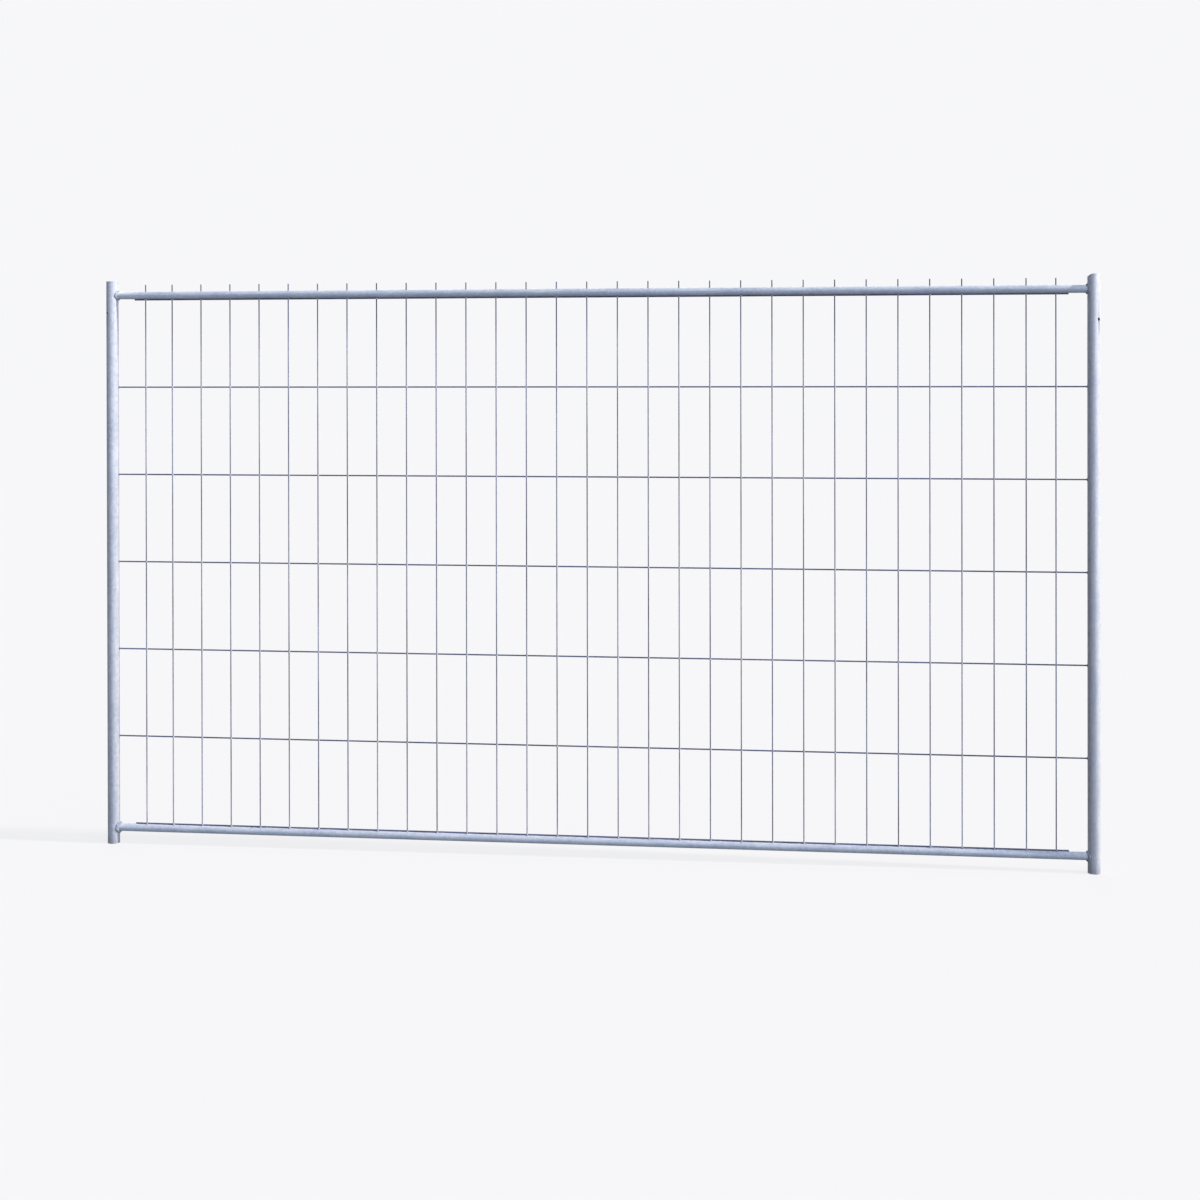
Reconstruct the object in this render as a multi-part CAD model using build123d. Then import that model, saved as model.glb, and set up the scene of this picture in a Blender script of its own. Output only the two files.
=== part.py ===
from build123d import *
import math
import os

# Outside size of the whole panel
panel_width = 3450.0
panel_height = 2000.0

# Round upright tube at each end
post_diameter = 42.4
post_wall = 1.5

# Round cross tubes, placed from the ends of the posts
rail_diameter = 26.9
rail_wall = 1.5
top_rail_drop = 50.0
bottom_rail_rise = 55.5

# Fillet weld round each end of each rail, its rim this far inside the side of the post
weld_inset = 0.25
weld_toe = 1.6

# Welded wire mesh, its cross wires thicker than its uprights
upright_diameter = 4.0
row_diameter = 5.0
wire_sides = 6
upright_pitch = 105.9
edge_pitch = 97.5
edge_clear = 60.0
row_pitch = 310.0
short_row_reach = 42.0

# Upright wires stand on the bottom rail and run through the top rail
spike_height = 24.0
hole_clearance = 0.2

# Vent hole in each post, turned outwards from straight ahead
vent_diameter = 12.0
vent_angle = 45.0
left_vent_drop = 114.0
right_vent_drop = 152.0

# Corner worn off the rim of the right post
worn_width = 17.0
worn_height = 14.0

# Values that follow from those above
post_radius = post_diameter / 2
rail_radius = rail_diameter / 2
weld_leg = post_radius - rail_radius - weld_inset
post_spacing = panel_width - post_diameter
middle_x = post_spacing / 2
top_rail_z = panel_height - top_rail_drop
bottom_rail_z = bottom_rail_rise

# Each wire is a bar of few sides with the cross-section area of the round wire
side_turn = math.pi / wire_sides
flat_share = math.sqrt(side_turn / math.tan(side_turn))
upright_flat = upright_diameter / 2 * flat_share
row_flat = row_diameter / 2 * flat_share
row_corner = row_flat / math.cos(side_turn)


def upright_places():
    """Distance along the panel of every upright wire."""
    room = middle_x - post_radius - edge_clear - edge_pitch
    pitches = math.floor(room / upright_pitch)
    inner = [k * upright_pitch for k in range(-pitches, pitches + 1)]
    offsets = [inner[0] - edge_pitch] + inner + [inner[-1] + edge_pitch]
    return [middle_x + offset for offset in offsets]


def row_heights():
    """Height of every cross wire, the outer two lying against the rails."""
    seat = math.sqrt(rail_radius**2 - row_flat**2) + row_corner
    lowest = bottom_rail_z + seat
    highest = top_rail_z - seat
    gaps = round((highest - lowest) / row_pitch)
    return [lowest + k * (highest - lowest) / gaps for k in range(gaps + 1)]


def tube(plane, length, diameter, wall):
    """Open tube that starts on a plane and runs along its normal."""
    ring = Circle(diameter / 2) - Circle(diameter / 2 - wall)
    return extrude(plane * ring, length)


def rod(plane, length, radius):
    """Solid round bar that starts on a plane and runs along its normal."""
    return extrude(plane * Circle(radius), length)


def bar(plane, length, flat):
    """Straight wire with few sides, one in front and one behind, each a distance from its middle."""
    turn = 90 - 180 / wire_sides
    outline = RegularPolygon(flat, wire_sides, major_radius=False, rotation=turn)
    return extrude(plane * outline, length)


def post_core(x):
    """Full round bar where a post stands, used to cut what meets the post."""
    return rod(Plane.XY.offset(-post_radius) * Pos(x, 0), panel_height + post_diameter, post_radius)


def vent_cutter(x, side, drop):
    """Bar through the front and outer wall of a post, for its vent hole."""
    turn = math.radians(vent_angle)
    outward = Vector(side * math.sin(turn), -math.cos(turn), 0)
    start = Plane(origin=(x, 0, panel_height - drop), z_dir=outward)
    return rod(start, post_diameter, vent_diameter / 2)


def make_post(x, side, vent_drop):
    post = tube(Plane.XY * Pos(x, 0), panel_height, post_diameter, post_wall)
    return post - vent_cutter(x, side, vent_drop)


def worn_corner():
    """Rounded notch across the panel side of the right post's rim."""
    left = post_spacing - post_radius
    low = panel_height - worn_height
    outline = Polyline(
        (left + worn_width, panel_height),
        (left + worn_width, panel_height + worn_height),
        (left - worn_height, panel_height + worn_height),
        (left - worn_height, low),
        (left, low),
    )
    slope = ThreePointArc(
        (left, low),
        (left + 0.36 * worn_width, panel_height - 0.36 * worn_height),
        (left + worn_width, panel_height),
    )
    face = Plane.XZ * make_face(outline + slope)
    return extrude(face, post_diameter, both=True)


def make_rail(z):
    """Tube between the posts, its ends cut to the curve of the posts."""
    start = Plane(origin=(0, 0, z), z_dir=(1, 0, 0))
    rail = tube(start, post_spacing, rail_diameter, rail_wall)
    return rail - [post_core(0), post_core(post_spacing)]


def wire_holes(z):
    """Bars that cut a hole for every upright wire through both walls of a rail."""
    start = Plane.XY.offset(z - rail_radius)
    half = upright_flat + hole_clearance
    return [bar(start * Pos(x, -upright_flat), rail_diameter, half) for x in upright_places()]


def make_weld(x, side, z):
    """Fillet that follows the saddle where a rail meets a post."""
    along = Plane(origin=(x, 0, z), z_dir=(side, 0, 0))
    collar = rod(along, post_radius + 2 * weld_leg, rail_radius + weld_leg)
    reach = 2 * (rail_radius + weld_leg)
    sleeve = rod(Plane.XY * Pos(x, 0, z - reach / 2), reach, post_radius + weld_leg)
    bead = collar & sleeve
    rim = bead.edges().filter_by(GeomType.LINE, reverse=True).sort_by(SortBy.LENGTH)[-1]
    bead = chamfer(rim, weld_leg - weld_toe)
    return bead - post_core(x) - rod(along, post_radius + 3 * weld_leg, rail_radius)


def make_uprights():
    """Wires in front of the panel's middle plane, from the bottom rail up to their spikes."""
    height = top_rail_z + rail_radius + spike_height - bottom_rail_z
    start = Plane.XY.offset(bottom_rail_z)
    return [bar(start * Pos(x, -upright_flat), height, upright_flat) for x in upright_places()]


def make_rows():
    """Wires behind the middle plane, the outer two short and the others from post to post."""
    places = upright_places()
    heights = row_heights()
    rows = []
    for z in heights:
        short = z in (heights[0], heights[-1])
        start = places[0] - short_row_reach if short else 0
        end = places[-1] + short_row_reach if short else post_spacing
        along = Plane(origin=(start, row_flat, z), x_dir=(0, 0, 1), z_dir=(1, 0, 0))
        rows.append(bar(along, end - start, row_flat))
    return rows


def make_mesh():
    """All the wires as one, fused flat to flat where they cross and seated on posts and rail."""
    rows = make_rows()
    mesh = rows[0].fuse(*rows[1:], *make_uprights())
    rail_core = rod(Plane(origin=(0, 0, bottom_rail_z), z_dir=(1, 0, 0)), post_spacing, rail_radius)
    return mesh - [post_core(0), post_core(post_spacing), rail_core]


def build():
    return {
        "left_post": make_post(0, -1, left_vent_drop),
        "right_post": make_post(post_spacing, 1, right_vent_drop) - worn_corner(),
        "top_rail": make_rail(top_rail_z) - wire_holes(top_rail_z),
        "bottom_rail": make_rail(bottom_rail_z),
        "wire_mesh": make_mesh(),
        "left_welds": Compound(children=[make_weld(0, 1, z) for z in (bottom_rail_z, top_rail_z)]),
        "right_welds": Compound(children=[make_weld(post_spacing, -1, z) for z in (bottom_rail_z, top_rail_z)]),
    }


os.makedirs("parts", exist_ok=True)
for name, shape in build().items():
    export_step(shape, f"parts/{name}.step")
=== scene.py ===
import math
import bpy
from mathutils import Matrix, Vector


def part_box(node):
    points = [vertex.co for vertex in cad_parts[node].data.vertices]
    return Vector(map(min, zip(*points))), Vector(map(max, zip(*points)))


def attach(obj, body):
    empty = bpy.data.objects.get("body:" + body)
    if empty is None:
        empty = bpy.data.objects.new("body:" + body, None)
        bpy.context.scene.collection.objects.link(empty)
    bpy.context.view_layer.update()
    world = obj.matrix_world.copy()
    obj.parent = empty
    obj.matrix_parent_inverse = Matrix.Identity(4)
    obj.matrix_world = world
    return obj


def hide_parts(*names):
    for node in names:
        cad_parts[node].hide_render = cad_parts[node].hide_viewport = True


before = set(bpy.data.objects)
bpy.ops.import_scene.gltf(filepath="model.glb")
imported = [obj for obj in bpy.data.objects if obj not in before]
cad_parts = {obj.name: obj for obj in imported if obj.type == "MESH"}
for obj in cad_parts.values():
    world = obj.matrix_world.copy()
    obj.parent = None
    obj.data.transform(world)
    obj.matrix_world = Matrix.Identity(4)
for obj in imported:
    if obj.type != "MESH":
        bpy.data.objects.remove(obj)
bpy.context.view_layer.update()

# sizes read from the frame, so that the dressed panel follows it
shave = 0.00004      # keeps each round tube inside the faceted one
frameNodes = ("left_post", "right_post", "top_rail", "bottom_rail", "wire_mesh")
lowOf = {name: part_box(name)[0] for name in frameNodes}
highOf = {name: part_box(name)[1] for name in frameNodes}
postX = {side: (lowOf[side + "_post"].x + highOf[side + "_post"].x) / 2 for side in ("left", "right")}
railZ = {level: (lowOf[level + "_rail"].z + highOf[level + "_rail"].z) / 2 for level in ("top", "bottom")}
postRadius = (highOf["left_post"].y - lowOf["left_post"].y) / 2 - shave
railRadius = (highOf["top_rail"].y - lowOf["top_rail"].y) / 2 - shave
topZ = highOf["left_post"].z
meshTop = highOf["wire_mesh"].z
middleX = (postX["left"] + postX["right"]) / 2

shapeLook = {
    "tubeAngle": 35.0,         # faces that meet at less than this are shaded as one
    "lumpAngle": 60.0,
    "beadAngle": 50.0,
    "rimAngle": 50.0,          # edges sharper than this get a bevel
}


def clearSelection():
    if bpy.context.object and bpy.context.object.mode != "OBJECT":
        bpy.ops.object.mode_set(mode="OBJECT")
    bpy.ops.object.select_all(action="DESELECT")


def pick(piece):
    clearSelection()
    piece.select_set(True)
    bpy.context.view_layer.objects.active = piece


def applyAll(piece):
    pick(piece)
    for modifier in list(piece.modifiers):
        bpy.ops.object.modifier_apply(modifier=modifier.name)


def settle(piece):
    # the object goes to the origin and its place into its mesh
    pick(piece)
    bpy.ops.object.transform_apply(location=True, rotation=True, scale=True)


def joinAll(pieces, name):
    clearSelection()
    for piece in pieces:
        piece.select_set(True)
    bpy.context.view_layer.objects.active = pieces[0]
    if len(pieces) > 1:
        bpy.ops.object.join()
    joined = bpy.context.object
    joined.name = name
    joined.data.name = name
    return joined


def copyOf(piece, offset):
    # a copy with its own mesh, moved along
    pick(piece)
    bpy.ops.object.duplicate(linked=False)
    twin = bpy.context.object
    bpy.ops.transform.translate(value=offset)
    settle(twin)
    return twin


def smooth(piece, degrees=shapeLook["tubeAngle"]):
    pick(piece)
    bpy.ops.object.shade_smooth_by_angle(angle=math.radians(degrees))
    applyAll(piece)


def addRound(radius, length, middle, turn=(0, 0, 0), sides=64, ends="NGON"):
    clearSelection()
    bpy.ops.mesh.primitive_cylinder_add(
        vertices=sides, radius=radius, depth=length, end_fill_type=ends, location=middle, rotation=turn)
    piece = bpy.context.object
    settle(piece)
    return piece


def addLump(size, middle, segments, rings):
    # a small melted blob, squashed to size
    clearSelection()
    bpy.ops.mesh.primitive_uv_sphere_add(segments=segments, ring_count=rings, radius=1, location=(0, 0, 0))
    lump = bpy.context.object
    bpy.ops.transform.resize(value=size)
    lump.location = middle
    settle(lump)
    return lump


def bevelRims(piece, width, segments=2):
    bevel = piece.modifiers.new("rims", "BEVEL")
    bevel.width = width
    bevel.segments = segments
    bevel.limit_method = "ANGLE"
    bevel.angle_limit = math.radians(shapeLook["rimAngle"])
    applyAll(piece)


def cutAway(piece, cutter):
    cut = piece.modifiers.new("cut", "BOOLEAN")
    cut.operation = "DIFFERENCE"
    cut.solver = "EXACT"
    cut.object = cutter
    applyAll(piece)
    bpy.data.objects.remove(cutter, do_unlink=True)


def repeatAlong(piece, count, step):
    row = piece.modifiers.new("repeat", "ARRAY")
    row.count = count
    row.use_relative_offset = False
    row.use_constant_offset = True
    row.constant_offset_displace = step
    applyAll(piece)


def finishPiece(piece, material, nodes):
    piece.data.materials.clear()
    piece.data.materials.append(material)
    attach(piece, "root")
    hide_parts(*nodes)
    print("  ", piece.name, len(piece.data.polygons), "faces")


def newMaterial(name):
    material = bpy.data.materials.new(name)
    material.use_nodes = True
    tree = material.node_tree
    tree.nodes.clear()
    output = tree.nodes.new("ShaderNodeOutputMaterial")
    shader = tree.nodes.new("ShaderNodeBsdfPrincipled")
    tree.links.new(shader.outputs["BSDF"], output.inputs["Surface"])
    place = tree.nodes.new("ShaderNodeTexCoord")
    return material, tree, shader, place


# what every zinc finish shares
plainTint = (1.0, 1.0, 1.0)
zincLook = {
    "noiseRoughness": 0.55,
    "spangleStops": (0.25, 0.75),
    "cloudDetail": 5, "cloudStops": (0.36, 0.64),
    "streakDetail": 2, "streakStops": (0.35, 0.6),
    "grainDetail": 3, "grainStops": (0.3, 0.7), "grainTint": (0.84, 0.85, 0.87),
    # ramp stops and rise of the painted highlight on the top rail
    "paintedHighlightStops": (0.3, 0.7), "paintedHighlightRise": 0.006,
    "bumpDepth": 0.0006,
}


def noiseNode(tree, place, scale, detail, stretch=(1, 1, 1)):
    mapping = tree.nodes.new("ShaderNodeMapping")
    mapping.inputs["Scale"].default_value = stretch
    tree.links.new(place.outputs["Object"], mapping.inputs["Vector"])
    noise = tree.nodes.new("ShaderNodeTexNoise")
    noise.inputs["Scale"].default_value = scale
    noise.inputs["Detail"].default_value = detail
    noise.inputs["Roughness"].default_value = zincLook["noiseRoughness"]
    tree.links.new(mapping.outputs["Vector"], noise.inputs["Vector"])
    return noise.outputs["Fac"]


def twoTones(spots, first, second):
    return [(spots[0], first), (spots[1], second)]


def rampNode(tree, source, stops):
    ramp = tree.nodes.new("ShaderNodeValToRGB")
    elements = ramp.color_ramp.elements
    while len(elements) < len(stops):
        elements.new(0.5)
    for element, (spot, colour) in zip(elements, stops):
        element.position = spot
        element.color = (*colour, 1)
    tree.links.new(source, ramp.inputs["Fac"])
    return ramp.outputs["Color"]


def mixColour(tree, factor, first, second, blend="MIX", amount=None):
    mix = tree.nodes.new("ShaderNodeMix")
    mix.data_type = "RGBA"
    mix.blend_type = blend
    if amount is not None:
        mix.inputs["Factor"].default_value = amount
    else:
        tree.links.new(factor, mix.inputs["Factor"])
    for socket, value in (("A", first), ("B", second)):
        spot = [s for s in mix.inputs if s.name == socket and s.type == "RGBA"][0]
        tree.links.new(value, spot)
    return [s for s in mix.outputs if s.type == "RGBA"][0]


def rangeNode(tree, source, low, high, fromLow=0.0, fromHigh=1.0):
    span = tree.nodes.new("ShaderNodeMapRange")
    span.inputs["From Min"].default_value = fromLow
    span.inputs["From Max"].default_value = fromHigh
    span.inputs["To Min"].default_value = low
    span.inputs["To Max"].default_value = high
    tree.links.new(source, span.inputs["Value"])
    return span.outputs["Result"]


def zincMaterial(name, look):
    # galvanised steel: spangle, cloudy patina, long streaks, grain and a faint orange-peel bump
    material, tree, shader, place = newMaterial(name)
    cells = tree.nodes.new("ShaderNodeTexVoronoi")
    cells.inputs["Scale"].default_value = look["spangleScale"]
    tree.links.new(place.outputs["Object"], cells.inputs["Vector"])
    tones = twoTones(zincLook["spangleStops"], look["dark"], look["light"])
    spangle = rampNode(tree, cells.outputs["Color"], tones)
    cloud = noiseNode(tree, place, look["cloudScale"], zincLook["cloudDetail"], look["cloudStretch"])
    patina = rampNode(tree, cloud, twoTones(zincLook["cloudStops"], look["dark"], look["light"]))
    colour = mixColour(tree, None, spangle, patina, "MIX", look["cloudShare"])
    streak = noiseNode(tree, place, look["streakScale"], zincLook["streakDetail"], look["streakStretch"])
    runs = rampNode(tree, streak, twoTones(zincLook["streakStops"], look["streakTint"], plainTint))
    colour = mixColour(tree, None, colour, runs, "MULTIPLY", look["streakShare"])
    fine = noiseNode(tree, place, look["grainScale"], zincLook["grainDetail"])
    grain = rampNode(tree, fine, twoTones(zincLook["grainStops"], zincLook["grainTint"], plainTint))
    colour = mixColour(tree, None, colour, grain, "MULTIPLY", look["grainShare"])
    if "fade" in look:
        # darker or lighter along the height: worn feet on the posts, painted sheen and shade on the uprights
        split = tree.nodes.new("ShaderNodeSeparateXYZ")
        tree.links.new(place.outputs["Object"], split.inputs["Vector"])
        fade = rampNode(tree, rangeNode(tree, split.outputs["Z"], 0.0, 1.0, *look["fadeSpan"]), look["fade"])
        colour = mixColour(tree, None, colour, fade, "MULTIPLY", 1.0)
    if "paintedHighlightSpan" in look:
        # painted highlight: whiter colour on the upper side of the tube near the left post, thinning out
        # along it, standing in for light reflected there
        split = tree.nodes.new("ShaderNodeSeparateXYZ")
        tree.links.new(place.outputs["Object"], split.inputs["Vector"])
        along = rangeNode(tree, split.outputs["X"], 1.0, 0.0, *look["paintedHighlightSpan"])
        paintedHighlightHigh = look["paintedHighlightLow"] + zincLook["paintedHighlightRise"]
        upper = rangeNode(tree, split.outputs["Z"], 0.0, 1.0, look["paintedHighlightLow"], paintedHighlightHigh)
        both = tree.nodes.new("ShaderNodeMath")
        both.operation = "MULTIPLY"
        tree.links.new(along, both.inputs[0])
        tree.links.new(upper, both.inputs[1])
        paintedHighlightTone = rampNode(tree, cloud, twoTones(zincLook["paintedHighlightStops"], look["paintedHighlightDull"], look["paintedHighlightBright"]))
        colour = mixColour(tree, both.outputs[0], colour, paintedHighlightTone)
    tree.links.new(colour, shader.inputs["Base Color"])
    tree.links.new(rangeNode(tree, cloud, look["roughLow"], look["roughHigh"]), shader.inputs["Roughness"])
    shader.inputs["Metallic"].default_value = look["metallic"]
    shader.inputs["Specular IOR Level"].default_value = look["specular"]
    bump = tree.nodes.new("ShaderNodeBump")
    bump.inputs["Strength"].default_value = look["bump"]
    bump.inputs["Distance"].default_value = zincLook["bumpDepth"]
    tree.links.new(fine, bump.inputs["Height"])
    tree.links.new(bump.outputs["Normal"], shader.inputs["Normal"])
    return material


# finishes, all of them zinc over steel, some with painted light or shade in their colour
postFinish = {
    "spangleScale": 95, "dark": (0.59, 0.62, 0.70), "light": (0.79, 0.81, 0.87),
    "cloudScale": 9, "cloudStretch": (4, 4, 1), "cloudShare": 0.5,
    "streakScale": 6, "streakStretch": (40, 40, 1), "streakTint": (0.80, 0.83, 0.88), "streakShare": 0.6,
    "grainScale": 700, "grainShare": 0.8, "roughLow": 0.42, "roughHigh": 0.6,
    "metallic": 0.03, "specular": 0.22, "bump": 0.25,
    "fadeSpan": (0.0, 0.05), "fade": [(0.0, (0.80, 0.80, 0.81)), (0.8, (1.0, 1.0, 1.0))]}
postZincAndPaintedLight = {
    "left": zincMaterial("leftPostZinc", postFinish),
    # the right post is a lighter copy of the same zinc: painted light on it
    "right": zincMaterial("rightPostZincPaintedLight", {
        **postFinish, "dark": (0.74, 0.75, 0.83), "light": (0.88, 0.88, 0.92)})}
railFinish = {
    "spangleScale": 110, "dark": (0.58, 0.63, 0.74), "light": (0.80, 0.84, 0.92),
    "cloudScale": 7, "cloudStretch": (1, 4, 4), "cloudShare": 0.6,
    "streakScale": 6, "streakStretch": (1, 40, 40), "streakTint": (0.80, 0.83, 0.88), "streakShare": 0.6,
    "grainScale": 700, "grainShare": 0.8, "roughLow": 0.42, "roughHigh": 0.6,
    "metallic": 0.03, "specular": 0.22, "bump": 0.25}
railZinc = {
    "bottom": zincMaterial("bottomRailZinc", railFinish),
    # the top rail has a painted highlight on its upper side near the left post
    "top": zincMaterial("topRailZincPaintedHighlight", {
        **railFinish, "paintedHighlightSpan": (0.02, 0.11), "paintedHighlightDull": (0.91, 0.93, 0.96), "paintedHighlightBright": (0.98, 0.99, 1.0),
        "paintedHighlightLow": railZ["top"] + 0.001})}
# painted shade: the uprights are coloured dark blue-grey, standing in for their shaded side
uprightZincPaintedShade = zincMaterial("uprightZincPaintedShade", {
    "spangleScale": 260, "dark": (0.065, 0.07, 0.125), "light": (0.66, 0.67, 0.90),
    "cloudScale": 3, "cloudStretch": (3, 1, 0.6), "cloudShare": 0.75,
    "streakScale": 3, "streakStretch": (3, 1, 6), "streakTint": (0.72, 0.73, 0.76), "streakShare": 0.7,
    "grainScale": 1100, "grainShare": 0.8, "roughLow": 0.45, "roughHigh": 0.65,
    "metallic": 0.05, "specular": 0.25, "bump": 0.2,
    # painted sheen and shade along the height: lighter bands lower down, darker and bluer over the top
    "fadeSpan": (0.1, 1.95),
    "fade": [(0.0, (0.94, 0.94, 0.94)), (0.22, (0.75, 0.75, 0.75)), (0.40, (0.85, 0.85, 0.84)),
             (0.58, (0.62, 0.62, 0.63)), (0.80, (0.72, 0.72, 0.72)), (0.89, (0.84, 0.84, 0.83)),
             (0.92, (0.58, 0.59, 0.68)), (0.95, (0.36, 0.37, 0.49)), (1.0, (0.24, 0.25, 0.36))]})
# painted shade: the cross wires are coloured near-black blue-grey, standing in for their shaded undersides
rowZincPaintedShade = zincMaterial("rowZincPaintedShade", {
    "spangleScale": 240, "dark": (0.105, 0.11, 0.19), "light": (0.27, 0.28, 0.45),
    "cloudScale": 3, "cloudStretch": (0.8, 1, 4), "cloudShare": 0.7,
    "streakScale": 3, "streakStretch": (6, 1, 3), "streakTint": (0.74, 0.75, 0.78), "streakShare": 0.7,
    "grainScale": 1100, "grainShare": 0.8, "roughLow": 0.45, "roughHigh": 0.65,
    "metallic": 0.05, "specular": 0.25, "bump": 0.2})
weldFinish = {
    "spangleScale": 500, "dark": (0.15, 0.17, 0.22), "light": (0.38, 0.41, 0.49),
    "cloudScale": 60, "cloudStretch": (1, 1, 1), "cloudShare": 0.6,
    "streakScale": 90, "streakStretch": (1, 1, 1), "streakTint": (0.6, 0.62, 0.66), "streakShare": 0.6,
    "grainScale": 900, "grainShare": 1.0, "roughLow": 0.5, "roughHigh": 0.7,
    "metallic": 0.05, "specular": 0.3, "bump": 0.6}
weldZinc = zincMaterial("weldZinc", weldFinish)
runZinc = zincMaterial("runZinc", {**weldFinish, "dark": (0.12, 0.18, 0.25), "light": (0.30, 0.39, 0.47)})
beadZinc = zincMaterial("beadZinc", {**weldFinish, "dark": (0.31, 0.34, 0.41), "light": (0.60, 0.63, 0.70)})
# painted highlight: the crossing lumps are coloured pale, standing in for the sunlit side of the uprights
# where they cross the rows
nuggetZincPaintedHighlight = zincMaterial("nuggetZincPaintedHighlight", {
    **weldFinish, "dark": (0.60, 0.61, 0.68), "light": (0.82, 0.83, 0.89)})
print("stage 2: finishes made")

postLook = {
    "sides": 72,
    "wall": 0.0015,
    "rimBevel": 0.0004,
    "ventRadius": 0.006,
    "ventTurn": 45.0,          # outwards from straight in front
    "drillLength": 0.03,
    "drillSides": 32,
    "leftVentDrop": 0.114,
    "rightVentDrop": 0.152,
    "wornWidth": 0.017,
    "wornHeight": 0.014,
    "wornSpare": 0.02,         # how far the cutter stands out past the rim
    "wornDepth": 0.1,
    "wornSides": 96,
    "runWidth": 0.0030,        # bead of zinc that ran down from each vent
    "runLength": 0.048,
    "runProud": 0.0008,
    "runTip": 0.15,            # width of its tip as a share of its top
    "runSides": 20,
    "runBevel": 0.0005,
    "runOverlap": 0.0006,
    "runSink": 0.0001,
}


def openTube(radius, wall, length, middle, turn=(0, 0, 0)):
    tube = addRound(radius, length, middle, turn, postLook["sides"], "NOTHING")
    shell = tube.modifiers.new("wall", "SOLIDIFY")
    shell.thickness = wall
    shell.offset = -1
    applyAll(tube)
    return tube


def wornCutter():
    # a block with a rounded inner edge, set on the corner of the rim
    left = postX["right"] - postRadius
    width = postLook["wornWidth"]
    height = postLook["wornHeight"]
    spare = postLook["wornSpare"]
    depth = postLook["wornDepth"]
    clearSelection()
    bpy.ops.mesh.primitive_cube_add(
        size=1, location=(left + (width - spare) / 2, 0, topZ - (height - spare) / 2))
    block = bpy.context.object
    bpy.ops.transform.resize(value=(width + spare, depth, height + spare))
    settle(block)
    dome = addRound(1.0, 2 * depth, (0, 0, 0), (math.pi / 2, 0, 0), postLook["wornSides"])
    pick(dome)
    bpy.ops.transform.resize(value=(width, 1, height))
    bpy.ops.transform.translate(value=(left + width, 0, topZ - height))
    settle(dome)
    cutAway(block, dome)
    return block


def zincRun(side, facing, turn, drop):
    # a tapering bead that starts at the lower lip of the vent
    length = postLook["runLength"]
    width = postLook["runWidth"]
    clearSelection()
    bpy.ops.mesh.primitive_cone_add(
        vertices=postLook["runSides"], radius1=width * postLook["runTip"], radius2=width, depth=length,
        location=(0, 0, 0))
    run = bpy.context.object
    bpy.ops.transform.resize(value=(1, postLook["runProud"] / width, 1))
    settle(run)
    bevelRims(run, postLook["runBevel"], 3)
    run.rotation_euler = (0, 0, turn)
    top = topZ - drop - postLook["ventRadius"] + postLook["runOverlap"]
    run.location = Vector((postX[side], 0, top - length / 2)) + facing * (postRadius - postLook["runSink"])
    settle(run)
    return run


def makePost(side, outward, drop):
    post = openTube(postRadius, postLook["wall"], topZ, (postX[side], 0, topZ / 2))
    turn = outward * math.radians(postLook["ventTurn"])
    facing = Vector((math.sin(turn), -math.cos(turn), 0))
    hole = Vector((postX[side], 0, topZ - drop)) + facing * postRadius
    drill = addRound(postLook["ventRadius"], postLook["drillLength"], hole, (math.pi / 2, 0, turn),
                     postLook["drillSides"])
    cutAway(post, drill)
    if side == "right":
        cutAway(post, wornCutter())
    bevelRims(post, postLook["rimBevel"])
    smooth(post)
    post = joinAll([post], side + "Post")
    finishPiece(post, postZincAndPaintedLight[side], [side + "_post"])
    run = joinAll([zincRun(side, facing, turn, drop)], side + "ZincRun")
    smooth(run, shapeLook["lumpAngle"])
    finishPiece(run, runZinc, [side + "_post"])


makePost("left", -1, postLook["leftVentDrop"])
makePost("right", 1, postLook["rightVentDrop"])
print("stage 3: posts made")

meshLook = {
    "uprightRadius": 0.002,
    "rowRadius": 0.0025,
    "sides": 14,
    "melt": 0.0003,            # how deep crossing wires sink into each other
    "pitch": 0.1059,
    "edgePitch": 0.0975,
    "innerCount": 29,
    "rowCount": 7,
    "shortReach": 0.042,
    "tipBevel": 0.0007,
    "uprightSink": 0.0008,     # how deep uprights stand in the bottom rail
    "rowEndSink": 0.0006,      # and long cross wires in the posts
    "rowSink": 0.0001,         # and the outer cross wires in the rails
    "nuggetSize": (0.0031, 0.0031, 0.0041),
    "nuggetForward": 0.0011,   # a little proud of the uprights in front
    "nuggetSegments": 12,
    "nuggetRings": 8,
}
uprightY = meshLook["melt"] / 2 - meshLook["uprightRadius"]
rowY = meshLook["rowRadius"] - meshLook["melt"] / 2
firstX = middleX - meshLook["pitch"] * (meshLook["innerCount"] - 1) / 2
outerX = (firstX - meshLook["edgePitch"], 2 * middleX - firstX + meshLook["edgePitch"])
uprightX = [outerX[0]] + [firstX + k * meshLook["pitch"] for k in range(meshLook["innerCount"])] + [outerX[1]]
rowSeat = math.sqrt((railRadius + meshLook["rowRadius"]) ** 2 - rowY ** 2) - meshLook["rowSink"]
rowPitch = (railZ["top"] - railZ["bottom"] - 2 * rowSeat) / (meshLook["rowCount"] - 1)
rowZ = [railZ["bottom"] + rowSeat + k * rowPitch for k in range(meshLook["rowCount"])]

railLook = {
    "wall": 0.0015,
    "holeClearance": 0.0002,
    "saddleHeight": 0.2,
    "drillLength": 0.04,
    "drillSides": 20,
}


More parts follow.
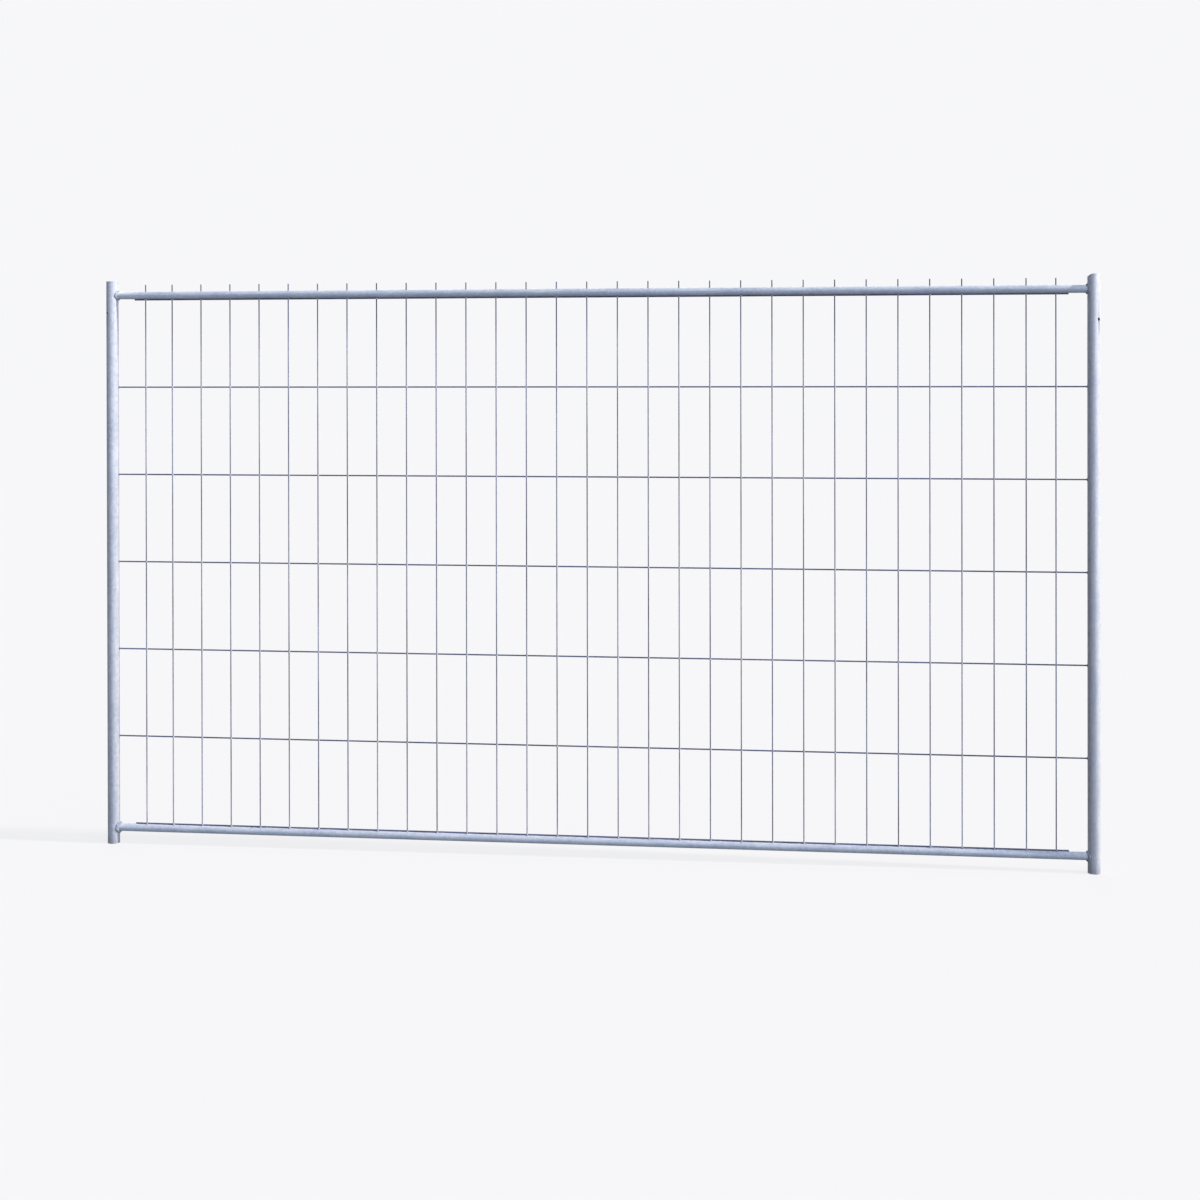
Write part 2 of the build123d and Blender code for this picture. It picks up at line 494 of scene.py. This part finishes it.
def makeRail(level):
    span = postX["right"] - postX["left"]
    rail = openTube(railRadius, railLook["wall"], span, (middleX, 0, railZ[level]), (0, math.pi / 2, 0))
    for side in ("left", "right"):
        saddle = addRound(postRadius, railLook["saddleHeight"], (postX[side], 0, railZ[level]),
                          sides=postLook["sides"])
        cutAway(rail, saddle)
    if level == "top":
        drill = addRound(meshLook["uprightRadius"] + railLook["holeClearance"], railLook["drillLength"],
                         (outerX[0], uprightY, railZ[level]), sides=railLook["drillSides"])
        twins = [copyOf(drill, (x - outerX[0], 0, 0)) for x in uprightX[1:]]
        cutAway(rail, joinAll([drill] + twins, "drills"))
    smooth(rail)
    rail = joinAll([rail], level + "Rail")
    finishPiece(rail, railZinc[level], [level + "_rail"])


makeRail("top")
makeRail("bottom")
print("stage 4: rails made")


def makeUprights():
    low = railZ["bottom"] + railRadius - meshLook["uprightSink"]
    wire = addRound(meshLook["uprightRadius"], meshTop - low, (outerX[0], uprightY, (meshTop + low) / 2),
                    sides=meshLook["sides"])
    bevelRims(wire, meshLook["tipBevel"])
    last = copyOf(wire, (outerX[1] - outerX[0], 0, 0))
    inner = copyOf(wire, (firstX - outerX[0], 0, 0))
    repeatAlong(inner, meshLook["innerCount"], (meshLook["pitch"], 0, 0))
    wires = joinAll([wire, inner, last], "uprightWires")
    smooth(wires)
    finishPiece(wires, uprightZincPaintedShade, ["wire_mesh"])


def makeRows():
    sink = meshLook["rowEndSink"]
    radius = meshLook["rowRadius"]
    turn = (0, math.pi / 2, 0)
    start = postX["left"] + postRadius - sink
    end = postX["right"] - postRadius + sink
    long = addRound(radius, end - start, ((start + end) / 2, rowY, rowZ[1]), turn, meshLook["sides"])
    repeatAlong(long, meshLook["rowCount"] - 2, (0, 0, rowPitch))
    start = outerX[0] - meshLook["shortReach"]
    end = outerX[1] + meshLook["shortReach"]
    short = addRound(radius, end - start, ((start + end) / 2, rowY, rowZ[0]), turn, meshLook["sides"])
    bevelRims(short, meshLook["tipBevel"] / 2, 1)
    repeatAlong(short, 2, (0, 0, rowZ[-1] - rowZ[0]))
    rows = joinAll([long, short], "crossWires")
    smooth(rows)
    finishPiece(rows, rowZincPaintedShade, ["wire_mesh"])


def makeNuggets():
    # one melted lump for each crossing
    lump = addLump(meshLook["nuggetSize"], (outerX[0], -meshLook["nuggetForward"], rowZ[0]),
                   meshLook["nuggetSegments"], meshLook["nuggetRings"])
    last = copyOf(lump, (outerX[1] - outerX[0], 0, 0))
    inner = copyOf(lump, (firstX - outerX[0], 0, 0))
    repeatAlong(inner, meshLook["innerCount"], (meshLook["pitch"], 0, 0))
    lumps = joinAll([lump, inner, last], "crossingWelds")
    repeatAlong(lumps, meshLook["rowCount"], (0, 0, rowPitch))
    smooth(lumps, shapeLook["lumpAngle"])
    finishPiece(lumps, nuggetZincPaintedHighlight, ["wire_mesh"])


makeUprights()
makeRows()
makeNuggets()
print("stage 5: mesh made")

weldLook = {
    "beadRadius": {"left_bottom": 0.0058, "left_top": 0.0034, "right_bottom": 0.0038, "right_top": 0.0036},
    "standOff": 0.0011,
    "rippleCount": 34,
    "rippleDepth": 0.09,
    "rippleMiddle": 0.6,
    "steps": 170,
    "roundness": 4,
    "guideHeight": 0.3,
    "guideSides": 180,
    "ringDistance": 0.08,      # from the middle of the post, before it is wrapped on it
    "mergeDistance": 0.00001,
    "collarReach": 0.0016,
    "collarHeight": 0.0018,
    "collarSink": 0.0014,
    "collarTop": 1.02,         # its upper radius over that of the wire
    "collarSides": 12,
    "rowEndReach": 0.0016,
    "rowEndProud": 0.0002,
    "rowEndSquash": (0.85, 1.1, 1.0),
    "rowEndSegments": 14,
    "rowEndRings": 8,
}


def makeCollars():
    # zinc and weld drawn up round each wire where it meets a rail
    reach = meshLook["uprightRadius"] + weldLook["collarReach"]
    height = weldLook["collarHeight"]
    sink = weldLook["collarSink"]
    collars = []
    for level, up in (("bottom", 1), ("top", 1), ("top", -1)):
        clearSelection()
        bpy.ops.mesh.primitive_cone_add(
            vertices=weldLook["collarSides"], radius1=reach,
            radius2=meshLook["uprightRadius"] * weldLook["collarTop"], depth=height + sink,
            location=(outerX[0], uprightY, railZ[level] + up * (railRadius + (height - sink) / 2)),
            rotation=(0 if up > 0 else math.pi, 0, 0))
        collar = bpy.context.object
        settle(collar)
        collars += [collar] + [copyOf(collar, (x - outerX[0], 0, 0)) for x in uprightX[1:]]
    joined = joinAll(collars, "wireCollars")
    smooth(joined, shapeLook["lumpAngle"])
    finishPiece(joined, weldZinc, ["wire_mesh"])


def makeRowEnds():
    # a small weld where each long cross wire lands on a post
    radius = meshLook["rowRadius"] + weldLook["rowEndReach"]
    size = [radius * share for share in weldLook["rowEndSquash"]]
    ends = []
    for side, inward in (("left", 1), ("right", -1)):
        x = postX[side] + inward * (postRadius + weldLook["rowEndProud"])
        for z in rowZ[1:-1]:
            ends.append(addLump(size, (x, rowY, z), weldLook["rowEndSegments"], weldLook["rowEndRings"]))
    joined = joinAll(ends, "rowEndWelds")
    smooth(joined, shapeLook["lumpAngle"])
    finishPiece(joined, weldZinc, ["wire_mesh"])


def makeBead(side, level, inward):
    # a ring projected on the post, turned into a curve and given a rippled thickness
    guide = addRound(postRadius, weldLook["guideHeight"], (postX[side], 0, railZ[level]),
                     sides=weldLook["guideSides"])
    clearSelection()
    bpy.ops.mesh.primitive_circle_add(
        vertices=weldLook["steps"], radius=railRadius + weldLook["standOff"], fill_type="NOTHING",
        location=(postX[side] + inward * weldLook["ringDistance"], 0, railZ[level]),
        rotation=(0, math.pi / 2, 0))
    ring = bpy.context.object
    settle(ring)
    wrap = ring.modifiers.new("seat", "SHRINKWRAP")
    wrap.target = guide
    wrap.wrap_method = "PROJECT"
    wrap.use_project_x = True
    wrap.use_negative_direction = inward > 0
    wrap.use_positive_direction = inward < 0
    wrap.offset = weldLook["standOff"]
    applyAll(ring)
    bpy.data.objects.remove(guide, do_unlink=True)
    pick(ring)
    bpy.ops.object.convert(target="CURVE")
    bead = bpy.context.object
    bead.data.dimensions = "3D"
    bead.data.fill_mode = "FULL"
    bead.data.bevel_depth = weldLook["beadRadius"][side + "_" + level]
    bead.data.bevel_resolution = weldLook["roundness"]
    spline = bead.data.splines[0]
    count = len(spline.points)
    for k in range(count):
        phase = math.pi * weldLook["rippleCount"] * k / count
        swell = abs(math.sin(phase)) - weldLook["rippleMiddle"]
        spline.points[k].radius = 1 + weldLook["rippleDepth"] * swell
    pick(bead)
    bpy.ops.object.convert(target="MESH")
    return bpy.context.object


def makeWelds(side, inward):
    beads = [makeBead(side, level, inward) for level in ("bottom", "top")]
    joined = joinAll(beads, side + "Welds")
    pick(joined)
    bpy.ops.object.mode_set(mode="EDIT")
    bpy.ops.mesh.select_all(action="SELECT")
    bpy.ops.mesh.remove_doubles(threshold=weldLook["mergeDistance"])
    bpy.ops.mesh.normals_make_consistent(inside=False)
    bpy.ops.object.mode_set(mode="OBJECT")
    smooth(joined, shapeLook["beadAngle"])
    finishPiece(joined, beadZinc, [side + "_welds"])


makeCollars()
makeRowEnds()
makeWelds("left", 1)
makeWelds("right", -1)
print("stage 6: welds made")

studioLook = {
    "backdrop": (0.930, 0.930, 0.947),
    "shade": (0.03, 0.04, 0.06),
    "floorMatte": (0.15, 0.15, 0.15),
    "floorGlow": (0.773, 0.771, 0.783),
    "floorSize": 80.0,
    "lampForward": 3.0,
    "lampRise": 4.0,
    "sunStrength": 2.9,
    "sunColour": (1.0, 0.93, 0.86),
    "sunFromRight": 87.5,      # counted from straight in front of the panel
    "sunHeight": 33.0,
    "sunSoftness": 2.0,
    "skyStrength": 1.32,
    "skyColour": (0.98, 0.96, 1.0),
    "skyFromRight": 52.0,
    "skyHeight": 40.0,
    "skySoftness": 55.0,
    "frontStrength": 1.2,
    "frontColour": (0.53, 0.73, 1.0),
    "frontFromRight": 28.0,
    "frontHeight": 12.0,
    "frontSoftness": 60.0,
    "backStrength": 1.3,
    "backColour": (0.90, 0.95, 1.0),
    "backFromRight": 200.0,
    "backHeight": 35.0,
    "backSoftness": 60.0,
}
cameraLook = {
    "place": (2.4567, -5.9904, 1.6836),
    "lookLeft": 6.737,
    "lookDown": 0.218,
    "lean": 0.102,
    "focalPixels": 1750.0,
    "horizonRise": 223.8,      # pixels from the middle of the frame up to the eye line
    "framePixels": 1200.0,
    "filmWidth": 36.0,
    "farthest": 200.0,
}


def addFloor():
    clearSelection()
    bpy.ops.mesh.primitive_plane_add(size=studioLook["floorSize"], location=(middleX, 0, 0))
    floor = bpy.context.object
    floor.name = "floor"
    material = bpy.data.materials.new("paleFloor")
    material.use_nodes = True
    tree = material.node_tree
    tree.nodes.clear()
    output = tree.nodes.new("ShaderNodeOutputMaterial")
    matte = tree.nodes.new("ShaderNodeBsdfDiffuse")
    matte.inputs["Color"].default_value = (*studioLook["floorMatte"], 1)
    glow = tree.nodes.new("ShaderNodeEmission")
    glow.inputs["Color"].default_value = (*studioLook["floorGlow"], 1)
    rays = tree.nodes.new("ShaderNodeLightPath")
    seen = tree.nodes.new("ShaderNodeMath")
    seen.operation = "MAXIMUM"
    tree.links.new(rays.outputs["Is Camera Ray"], seen.inputs[0])
    tree.links.new(rays.outputs["Is Glossy Ray"], seen.inputs[1])
    tree.links.new(seen.outputs[0], glow.inputs["Strength"])
    both = tree.nodes.new("ShaderNodeAddShader")
    tree.links.new(matte.outputs[0], both.inputs[0])
    tree.links.new(glow.outputs[0], both.inputs[1])
    tree.links.new(both.outputs[0], output.inputs["Surface"])
    floor.data.materials.append(material)


def addWorld():
    world = bpy.data.worlds.new("studio")
    bpy.context.scene.world = world
    world.use_nodes = True
    tree = world.node_tree
    tree.nodes.clear()
    output = tree.nodes.new("ShaderNodeOutputWorld")
    pale = tree.nodes.new("ShaderNodeBackground")
    pale.inputs["Color"].default_value = (*studioLook["backdrop"], 1)
    dim = tree.nodes.new("ShaderNodeBackground")
    dim.inputs["Color"].default_value = (*studioLook["shade"], 1)
    rays = tree.nodes.new("ShaderNodeLightPath")
    seen = tree.nodes.new("ShaderNodeMath")
    seen.operation = "MAXIMUM"
    tree.links.new(rays.outputs["Is Camera Ray"], seen.inputs[0])
    tree.links.new(rays.outputs["Is Glossy Ray"], seen.inputs[1])
    both = tree.nodes.new("ShaderNodeMath")
    both.operation = "MAXIMUM"
    tree.links.new(seen.outputs[0], both.inputs[0])
    tree.links.new(rays.outputs["Is Transmission Ray"], both.inputs[1])
    mix = tree.nodes.new("ShaderNodeMixShader")
    tree.links.new(both.outputs[0], mix.inputs["Fac"])
    tree.links.new(dim.outputs[0], mix.inputs[1])
    tree.links.new(pale.outputs[0], mix.inputs[2])
    tree.links.new(mix.outputs[0], output.inputs["Surface"])


def addSun(name):
    clearSelection()
    place = (middleX, -studioLook["lampForward"], studioLook["lampRise"])
    bpy.ops.object.light_add(type="SUN", location=place)
    sun = bpy.context.object
    sun.name = name + "Light"
    sun.data.energy = studioLook[name + "Strength"]
    sun.data.color = studioLook[name + "Colour"]
    sun.data.angle = math.radians(studioLook[name + "Softness"])
    turn = math.radians(studioLook[name + "FromRight"])
    rise = math.radians(studioLook[name + "Height"])
    source = Vector((math.sin(turn) * math.cos(rise), -math.cos(turn) * math.cos(rise), math.sin(rise)))
    sun.rotation_euler = source.to_track_quat("Z", "Y").to_euler()


def addCamera():
    clearSelection()
    bpy.ops.object.camera_add(location=cameraLook["place"])
    camera = bpy.context.object
    camera.rotation_euler = (math.radians(90 - cameraLook["lookDown"]), math.radians(cameraLook["lean"]),
                             math.radians(cameraLook["lookLeft"]))
    camera.data.sensor_width = cameraLook["filmWidth"]
    camera.data.lens = cameraLook["filmWidth"] * cameraLook["focalPixels"] / cameraLook["framePixels"]
    camera.data.shift_y = -cameraLook["horizonRise"] / cameraLook["framePixels"]
    camera.data.clip_end = cameraLook["farthest"]
    bpy.context.scene.camera = camera


addFloor()
addWorld()
for lamp in ("sun", "sky", "front", "back"):
    addSun(lamp)
addCamera()
bpy.context.scene.view_settings.view_transform = "Standard"
print("stage 7: studio ready")
